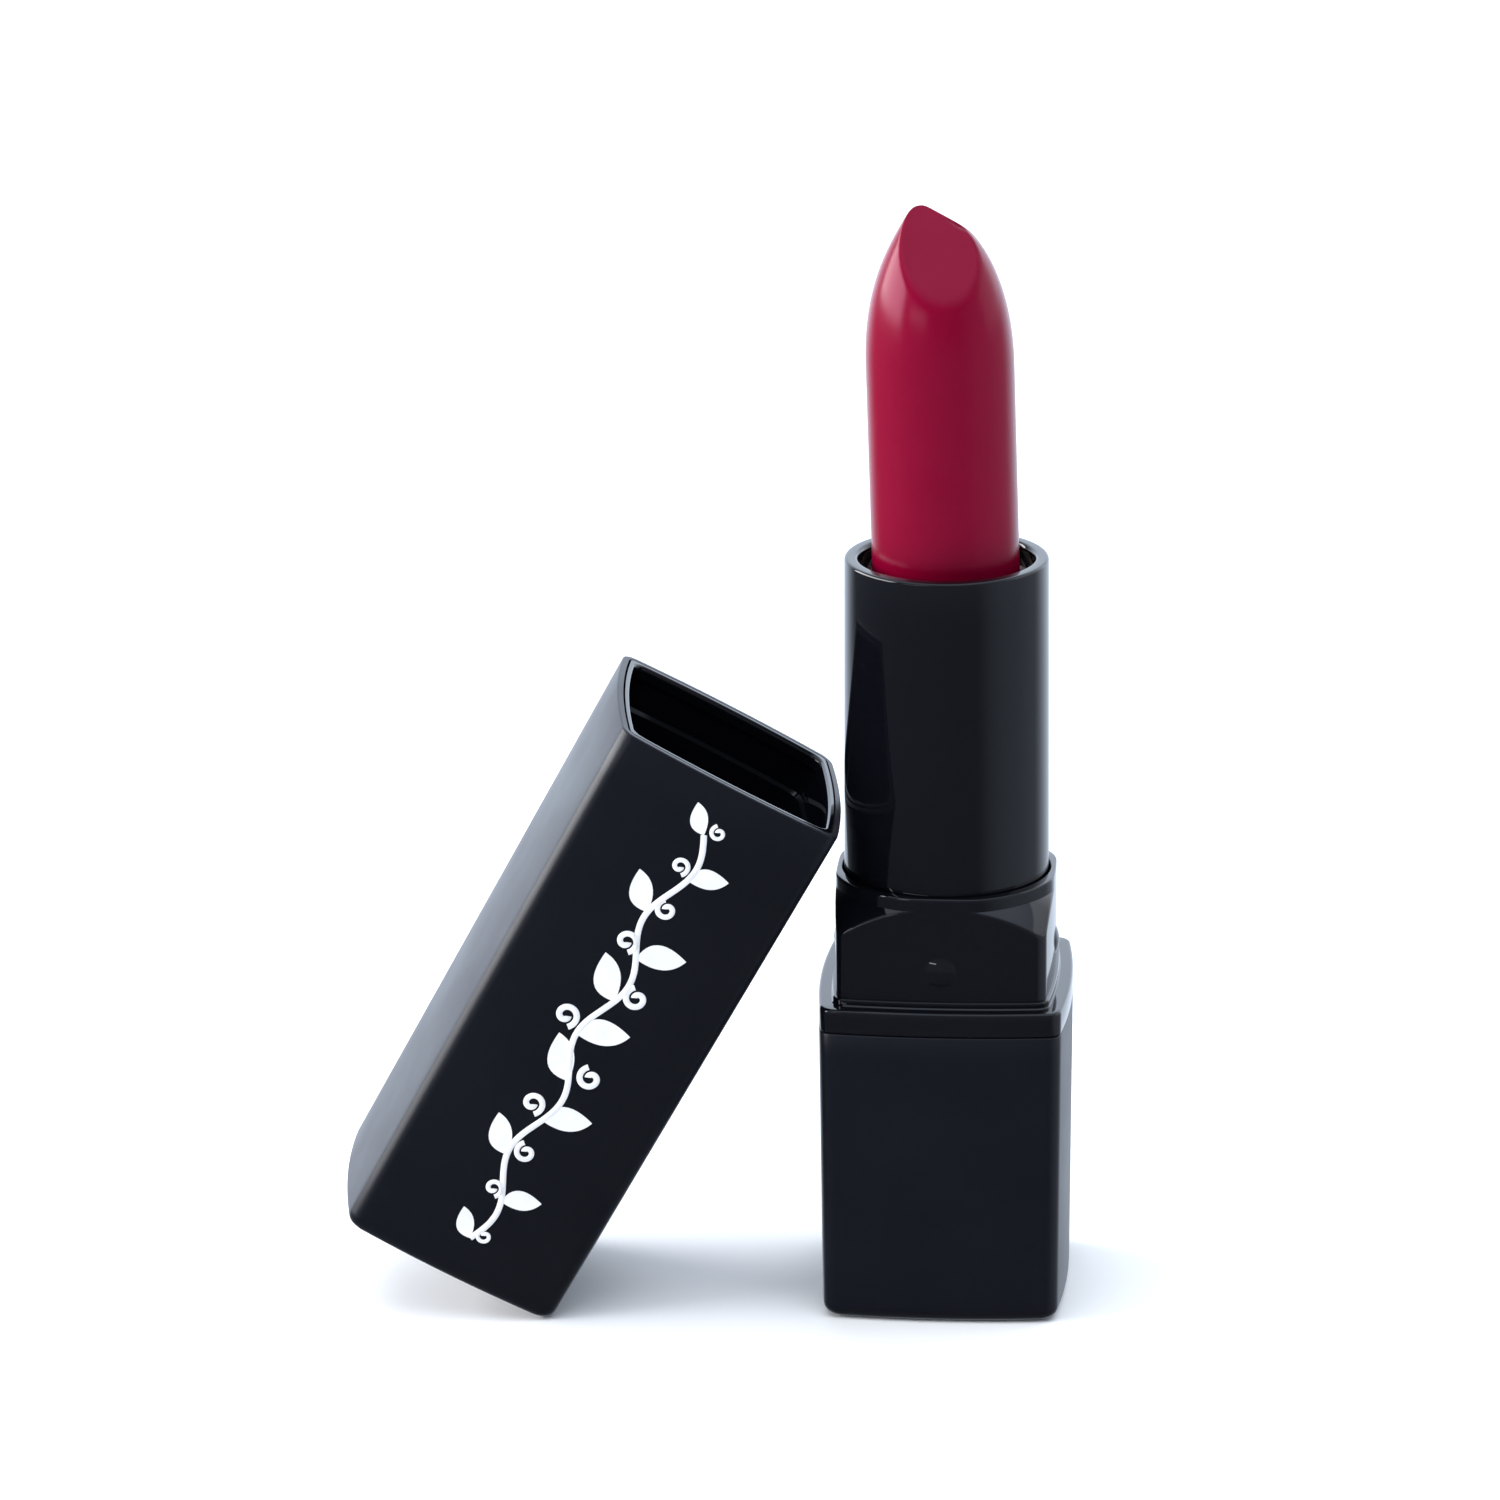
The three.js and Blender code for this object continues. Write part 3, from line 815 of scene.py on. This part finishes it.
def lipstick_bullet():
    """The dome and its round foot, then the flat, the pinch, the lean and the trim behind the tip."""
    plain_rows, dome_rows, turn_steps = 10, 170, 272
    rows = [(0, bullet_foot), (bullet_radius, bullet_foot), (bullet_radius, cup_rim)]
    dome_foot = bullet_tip + cut_deep - dome_high
    for i in range(1, plain_rows):
        rows.append((bullet_radius, cup_rim + (dome_foot - cup_rim) * i / plain_rows))
    for i in range(dome_rows):
        rise = math.sin(math.pi / 2 * i / dome_rows)
        rows.append((dome_radius(rise), dome_foot + dome_high * rise))
    rows.append((0, dome_foot + dome_high))
    piece = turned_piece("lipstick_bullet", rows, turn_steps)
    for v in piece.data.vertices:
        if v.co.z > dome_foot - 0.002:
            outside = (v.co - cut_point).dot(cut_normal)
            downhill = min(1.0, max(0.0, (bullet_tip - v.co.z - softening_start) / softening_span))
            v.co -= cut_normal * softened(outside, edge_soft + (lower_edge_soft - edge_soft) * downhill)
            if abs(outside) < 0.004:
                v.co -= cut_normal * dented(v.co)
    for v in piece.data.vertices:
        v.co.x -= leant(v.co)
    peak = max((v.co for v in piece.data.vertices), key=lambda spot: spot.z).copy()
    for v in piece.data.vertices:
        if v.co.z > peak.z - trim_reach:
            v.co -= trim_normal * softened((v.co - peak).dot(trim_normal) - edge_soft, edge_soft)
    return piece


def crimson_wax():
    """Pigmented wax: deep crimson, faintly mottled, with a soft satin shine and a little light inside."""
    material, nodes, links, skin = fresh_material("crimson wax")
    place = nodes.new("ShaderNodeTexCoord")
    mottle = noise(nodes, links, place, 420.0, 5.0)
    pores = noise(nodes, links, place, 7000.0, 3.0)
    tone = blended(nodes, links, mottle, (0.18, 0.0001, 0.017, 1), (0.196, 0.0002, 0.02, 1))
    rough = shine(nodes, links, mottle, 0.21, 0.24)
    bump = bumped(nodes, links, pores, 0.012, 0.00002)
    links.new(tone.outputs[0], skin.inputs["Base Color"])
    links.new(rough.outputs[0], skin.inputs["Roughness"])
    links.new(bump.outputs[0], skin.inputs["Normal"])
    skin.inputs["Specular IOR Level"].default_value = 0.25
    skin.inputs["Specular Tint"].default_value = (1.0, 0.6, 0.8, 1)
    skin.inputs["Subsurface Weight"].default_value = 0.03
    skin.inputs["Subsurface Radius"].default_value = (1.0, 0.15, 0.2)
    skin.inputs["Subsurface Scale"].default_value = 0.0006
    return material


bullet = lipstick_bullet()
smooth_over(bullet, 60)
finished(bullet, crimson_wax(), "lipstick", "lipstick_crimson", "bullet")


# ---------------------------------------------------------------------------
# Cap shell: the tall square cover, off the case and leaning on the sleeve with its open end up.
# The same moulding and soft-touch coat as the base, drafted towards its closed end.

cap_length = 0.0493
cap_draft = 0.00035
cap_lean = math.radians(29.2)
cap_heading = math.radians(2)
cap_turn = math.radians(6)
cap_forward = 0.003
cap_wall = 0.00055
cap_floor = 0.001
rim_inset = 0.00008


def cap_place(node, half):
    """The leant pose of the cap, with its closed end's centre placed so that it fits the solid's box."""
    hinge = Vector((-math.sin(cap_heading), math.cos(cap_heading), 0))
    pose = Matrix.Rotation(cap_lean, 4, hinge) @ Matrix.Rotation(cap_turn, 4, "Z")
    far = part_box(node)[1]
    corners = [pose @ Vector((x, y, cap_length)) for x, y in pillow_square(half, body_corner)]
    right = max(c.x for c in corners)
    top = max(c.z for c in corners)
    return Matrix.Translation((far.x - right, -cap_forward, far.z - top)) @ pose


cap_pose = cap_place("cap_shell", body_half - rim_inset)
cap_shell = square_tub("cap_shell_skin", cap_length, cap_draft, shell_edge, cap_wall, cap_floor)
cap_shell.data.transform(cap_pose)
smooth_over(cap_shell, 40)
finished(cap_shell, soft_touch, "cap", "soft_touch_black", "cap_shell")


# ---------------------------------------------------------------------------
# Vine: a generic leafy scroll stamped in white foil along the middle of the cap's front.
# The foil is a few hundredths of a millimetre thick and follows the face's shallow curve.

def vine_tree():
    """Geometry Nodes lay a wavy stem, with a leaf to one side and a curl to the other at each joint."""
    tree = bpy.data.node_groups.new("leafy scroll", "GeometryNodeTree")
    face = tree.interface
    for name in ("Stem length", "Stem width", "Sway", "Waves", "Foil",
                 "Leaf length", "Leaf width", "Spread", "Curl radius"):
        face.new_socket(name, in_out="INPUT", socket_type="NodeSocketFloat")
    face.new_socket("Leaves", in_out="INPUT", socket_type="NodeSocketInt")
    face.new_socket("Finish", in_out="INPUT", socket_type="NodeSocketMaterial")
    face.new_socket("Geometry", in_out="OUTPUT", socket_type="NodeSocketGeometry")
    nodes, links = tree.nodes, tree.links
    given = nodes.new("NodeGroupInput").outputs
    made = nodes.new("NodeGroupOutput")

    def maths(operation, a, b=0.0):
        """One step of arithmetic on fields or numbers."""
        return wired(nodes, links, "ShaderNodeMath", {0: a, 1: b}, operation=operation).outputs[0]

    def vector(x=0.0, y=0.0, z=0.0):
        return wired(nodes, links, "ShaderNodeCombineXYZ", {"X": x, "Y": y, "Z": z}).outputs[0]

    def foil_strip(curve, width):
        """A flat band along a curve in the X-Z plane: its thickness is along Y."""
        faced = wired(nodes, links, "GeometryNodeSetCurveNormal",
                      {"Curve": curve, "Normal": vector(y=1.0)}, mode="FREE")
        strip = wired(nodes, links, "GeometryNodeCurvePrimitiveQuadrilateral",
                      {"Width": given["Foil"], "Height": width})
        band = wired(nodes, links, "GeometryNodeCurveToMesh",
                     {"Curve": faced.outputs[0], "Profile Curve": strip.outputs[0], "Fill Caps": True})
        return band.outputs[0]

    line = wired(nodes, links, "GeometryNodeCurvePrimitiveLine", {"End": vector(z=given["Stem length"])})
    fine = wired(nodes, links, "GeometryNodeResampleCurve", {"Curve": line.outputs[0], "Count": 160})
    along = nodes.new("GeometryNodeSplineParameter").outputs["Factor"]
    phase = maths("MULTIPLY", maths("MULTIPLY", along, given["Waves"]), 2 * math.pi)
    sway = maths("MULTIPLY", maths("SINE", phase), given["Sway"])
    stem = wired(nodes, links, "GeometryNodeSetPosition",
                 {"Geometry": fine.outputs[0], "Offset": vector(x=sway)})
    spots = wired(nodes, links, "GeometryNodeCurveToPoints",
                  {"Curve": stem.outputs[0], "Count": given["Leaves"]})
    order = nodes.new("GeometryNodeInputIndex").outputs[0]
    turn = maths("SUBTRACT", maths("MULTIPLY", maths("MODULO", order, 2.0), 2.0), 1.0)
    last = maths("SUBTRACT", given["Leaves"], 1.0)
    middle = maths("SINE", maths("MULTIPLY", maths("DIVIDE", order, last), math.pi))
    size = maths("ADD", maths("MULTIPLY", middle, 0.35), 0.65)

    disc = wired(nodes, links, "GeometryNodeMeshCylinder", {"Vertices": 36, "Radius": 1.0, "Depth": 1.0})
    spot = nodes.new("GeometryNodeInputPosition").outputs[0]
    axes = wired(nodes, links, "ShaderNodeSeparateXYZ", {0: spot}).outputs
    wide = maths("MULTIPLY", axes["Y"], maths("ABSOLUTE", axes["Y"]))
    reach = maths("MULTIPLY", maths("ADD", axes["X"], 1.0), 0.5)
    bend = maths("MULTIPLY", maths("MULTIPLY", reach, reach), 0.45)
    leaf_x = maths("MULTIPLY", maths("ADD", maths("MULTIPLY", wide, 0.5), bend), given["Leaf width"])
    leaf_z = maths("MULTIPLY", reach, given["Leaf length"])
    leaf_y = maths("MULTIPLY", axes["Z"], given["Foil"])
    leaf = wired(nodes, links, "GeometryNodeSetPosition",
                 {"Geometry": disc.outputs["Mesh"], "Position": vector(leaf_x, leaf_y, leaf_z)})
    leaf_turn = vector(y=maths("MULTIPLY", turn, given["Spread"]))
    leaves = wired(nodes, links, "GeometryNodeInstanceOnPoints",
                   {"Points": spots.outputs[0], "Instance": leaf.outputs[0],
                    "Rotation": leaf_turn, "Scale": vector(size, 1.0, size)})

    inner = maths("MULTIPLY", given["Curl radius"], 0.22)
    coil = wired(nodes, links, "GeometryNodeCurveSpiral",
                 {"Resolution": 40, "Rotations": 1.15, "Start Radius": inner,
                  "End Radius": given["Curl radius"], "Height": 0.0})
    flat = wired(nodes, links, "GeometryNodeTransform",
                 {"Geometry": coil.outputs[0], "Rotation": vector(x=math.pi / 2)})
    curl = foil_strip(flat.outputs[0], given["Stem width"])
    curl_reach = maths("MULTIPLY", given["Curl radius"], size)
    aside = maths("MULTIPLY", maths("MULTIPLY", turn, curl_reach), -1.45)
    shifted = wired(nodes, links, "GeometryNodeSetPosition",
                    {"Geometry": spots.outputs[0], "Offset": vector(x=aside, z=curl_reach)})
    curl_turn = vector(y=maths("MULTIPLY", maths("SUBTRACT", turn, 1.0), math.pi / 2))
    curls = wired(nodes, links, "GeometryNodeInstanceOnPoints",
                  {"Points": shifted.outputs[0], "Instance": curl,
                   "Rotation": curl_turn, "Scale": vector(size, 1.0, size)})
    joined = nodes.new("GeometryNodeJoinGeometry")
    for shape in (foil_strip(stem.outputs[0], given["Stem width"]), leaves.outputs[0], curls.outputs[0]):
        links.new(shape, joined.inputs[0])
    real = wired(nodes, links, "GeometryNodeRealizeInstances", {"Geometry": joined.outputs[0]})
    coated = wired(nodes, links, "GeometryNodeSetMaterial",
                   {"Geometry": real.outputs[0], "Material": given["Finish"]})
    links.new(coated.outputs[0], made.inputs[0])
    return tree


def white_foil():
    """Stamped white foil: nearly flat white, and a little uneven."""
    material, nodes, links, skin = fresh_material("white foil")
    place = nodes.new("ShaderNodeTexCoord")
    cloud = noise(nodes, links, place, 700.0, 5.0)
    tone = blended(nodes, links, cloud, (0.74, 0.74, 0.75, 1), (0.9, 0.9, 0.9, 1))
    rough = shine(nodes, links, cloud, 0.35, 0.55)
    links.new(tone.outputs[0], skin.inputs["Base Color"])
    links.new(rough.outputs[0], skin.inputs["Roughness"])
    return material


foil_thick = 0.00005
vine_foot = 0.0042
foil = white_foil()
vine = grown("white_vine", vine_tree(), {
    "Stem length": 0.0405,
    "Stem width": 0.00052,
    "Sway": 0.0009,
    "Waves": 3.5,
    "Foil": foil_thick,
    "Leaves": 11,
    "Leaf length": 0.0043,
    "Leaf width": 0.0024,
    "Spread": math.radians(52),
    "Curl radius": 0.00105,
}, foil)


def laid_on_front(spot):
    """Moves a point of the flat scroll on to the cap's front face, which is a shallow arc and drafted."""
    along = spot.z + vine_foot
    half = body_half - cap_draft * (1 - along / cap_length)
    side = arc_radius(half)
    face = math.sqrt(side * side - spot.x * spot.x) - (side - half)
    return Vector((spot.x, spot.y - face, along))


for v in vine.data.vertices:
    v.co = laid_on_front(v.co)
vine.data.transform(cap_pose)
finished(vine, foil, "cap", None)


# ---------------------------------------------------------------------------
# Cap liner: the gloss black inner cap glued inside the shell. It slides over the neck, and a shallow groove
# near its mouth takes the click bumps. Only its mouth and the first part of its walls show.

liner_half = body_half - 0.0007
liner_wall = 0.00055
liner_foot = 0.00115
liner_floor = 0.00205
liner_corner = 0.0005
mouth_corner = 0.00055
groove_deep = 0.00025
groove_top = 0.00135
groove_low = 0.0037


def liner_rings():
    """Up the outside, over the rounded mouth, and down the inside past the click groove."""
    inner_half = liner_half - liner_wall
    rings = []

    def level(half, corner, z):
        rings.append(at_height(pillow_square(half, corner), z))

    level(liner_half - cap_draft, liner_corner, liner_foot)
    level(liner_half, mouth_corner, cap_length - 0.0001)
    level(liner_half - 0.00003, mouth_corner, cap_length)
    level(inner_half + groove_deep + rim_hold, neck_corner, cap_length)
    level(inner_half + groove_deep, neck_corner, cap_length)
    ease_steps = 6
    for i in range(1, ease_steps + 1):
        a = math.pi / 2 * i / ease_steps
        flare = groove_deep * (1 - math.sin(a))
        level(inner_half + flare, neck_corner, cap_length - 0.0004 * (1 - math.cos(a)))
    level(inner_half, neck_corner, cap_length - 0.0011)
    level(inner_half + groove_deep, neck_corner, cap_length - groove_top)
    level(inner_half + groove_deep, neck_corner, cap_length - groove_low)
    level(inner_half, neck_corner, cap_length - groove_low - 0.0003)
    level(inner_half - cap_draft, neck_corner, liner_floor)
    return rings


cap_liner = skinned("cap_liner_wall", liner_rings())
cap_liner.data.transform(cap_pose)
smooth_over(cap_liner, 35)
finished(cap_liner, gloss, "cap", "gloss_black", "cap_liner")


# ---------------------------------------------------------------------------
# Camera, floor and light: a long lens a little above the case, on a plain pale floor, in a white studio
# that is dark towards the camera, so that the black faces stay black and their edges catch the light.

floor_mesh = bpy.data.meshes.new("floor")
reach = 3
floor_corners = [(-reach, -reach, 0), (reach, -reach, 0), (reach, reach, 0), (-reach, reach, 0)]
floor_mesh.from_pydata(floor_corners, [], [(0, 1, 2, 3)])
floor = shown("floor", floor_mesh)
floor_paint, floor_nodes, floor_links, floor_skin = fresh_material("pale floor")
floor_place = wired(floor_nodes, floor_links, "ShaderNodeTexCoord", {})
floor_cloud = noise(floor_nodes, floor_links, floor_place, 3.0, 3.0)
floor_tone = blended(floor_nodes, floor_links, floor_cloud, (0.9, 0.9, 0.9, 1), (0.93, 0.93, 0.93, 1))
floor_links.new(floor_tone.outputs[0], floor_skin.inputs["Base Color"])
floor_skin.inputs["Roughness"].default_value = 0.9
floor_skin.inputs["Specular IOR Level"].default_value = 0.05
floor.data.materials.append(floor_paint)

floor.visible_glossy = False

world = bpy.data.worlds.new("studio")
bpy.context.scene.world = world
world.use_nodes = True
sky, sky_links = world.node_tree.nodes, world.node_tree.links
toward = wired(sky, sky_links, "ShaderNodeTexCoord", {})
parts = wired(sky, sky_links, "ShaderNodeSeparateXYZ", {0: toward.outputs["Generated"]})
behind = wired(sky, sky_links, "ShaderNodeMapRange",
               {0: parts.outputs["Y"], 1: 0.45, 2: 0.86, 3: 0.24, 4: 1.9}, interpolation_type="SMOOTHSTEP")
above = wired(sky, sky_links, "ShaderNodeMapRange",
              {0: parts.outputs["Z"], 1: 0.5, 2: 0.9, 3: 0.0, 4: 0.9}, interpolation_type="SMOOTHSTEP")
beside = wired(sky, sky_links, "ShaderNodeMapRange",
               {0: parts.outputs["X"], 1: 0.55, 2: 0.95, 3: 0.0, 4: 0.34}, interpolation_type="SMOOTHSTEP")
low_down = wired(sky, sky_links, "ShaderNodeMapRange",
                 {0: parts.outputs["Z"], 1: -0.32, 2: -0.14, 3: 0.62, 4: 1.0},
                 interpolation_type="SMOOTHSTEP")
sweep = wired(sky, sky_links, "ShaderNodeMath",
              {0: behind.outputs[0], 1: low_down.outputs[0]}, operation="MULTIPLY")
walls = wired(sky, sky_links, "ShaderNodeMath",
              {0: sweep.outputs[0], 1: beside.outputs[0]}, operation="ADD")
glow = wired(sky, sky_links, "ShaderNodeMath",
             {0: walls.outputs[0], 1: above.outputs[0]}, operation="ADD")
sky_links.new(glow.outputs[0], sky["Background"].inputs["Strength"])
sky["Background"].inputs["Color"].default_value = (0.82, 0.93, 1.09, 1)


def softbox(name, place, look, width, height, watts, colour=(1, 1, 1)):
    lamp = bpy.data.lights.new(name, "AREA")
    lamp.shape = "RECTANGLE"
    lamp.size, lamp.size_y = width, height
    lamp.energy = watts
    lamp.color = colour
    holder = shown(name, lamp)
    holder.location = place
    holder.rotation_mode = "QUATERNION"
    holder.rotation_quaternion = (Vector(look) - Vector(place)).to_track_quat("-Z", "Y")
    return holder


softbox("left window", (-0.58, 0.0, 0.265), (0, 0, 0.075), 0.7, 0.33, 6.5, (0.98, 0.98, 1.0))
softbox("right window", (0.62, 0.3, 0.36), (0, 0, 0.06), 0.9, 0.6, 1.3, (0.96, 0.98, 1.0))
softbox("front card", (-0.31, -0.505, 0.188), (0, 0, 0.085), 0.3, 0.03, 0.2)
ceiling = softbox("ceiling", (0, -0.15, 0.8), (0, 0, 0.04), 0.8, 0.8, 4.2)
ceiling.visible_glossy = False
bpy.context.scene.view_settings.view_transform = "Standard"

camera_data = bpy.data.cameras.new("camera")
camera = shown("camera", camera_data)
bpy.context.scene.camera = camera
camera_distance = 0.6
camera_tilt = math.radians(18.25)
camera_side = math.radians(3.3)
look_height = 0.038
camera_data.sensor_width = 36
camera_data.lens = 173.6
away = Vector((math.sin(camera_side) * math.cos(camera_tilt),
               -math.cos(camera_side) * math.cos(camera_tilt), math.sin(camera_tilt)))
camera.location = Vector((0, 0, look_height)) + away * camera_distance
camera.rotation_mode = "QUATERNION"
camera.rotation_quaternion = (-away).to_track_quat("-Z", "Y")
camera_data.shift_x = -0.1311
camera_data.shift_y = 0.0678
camera_data.clip_start = 0.02
camera_data.clip_end = 20
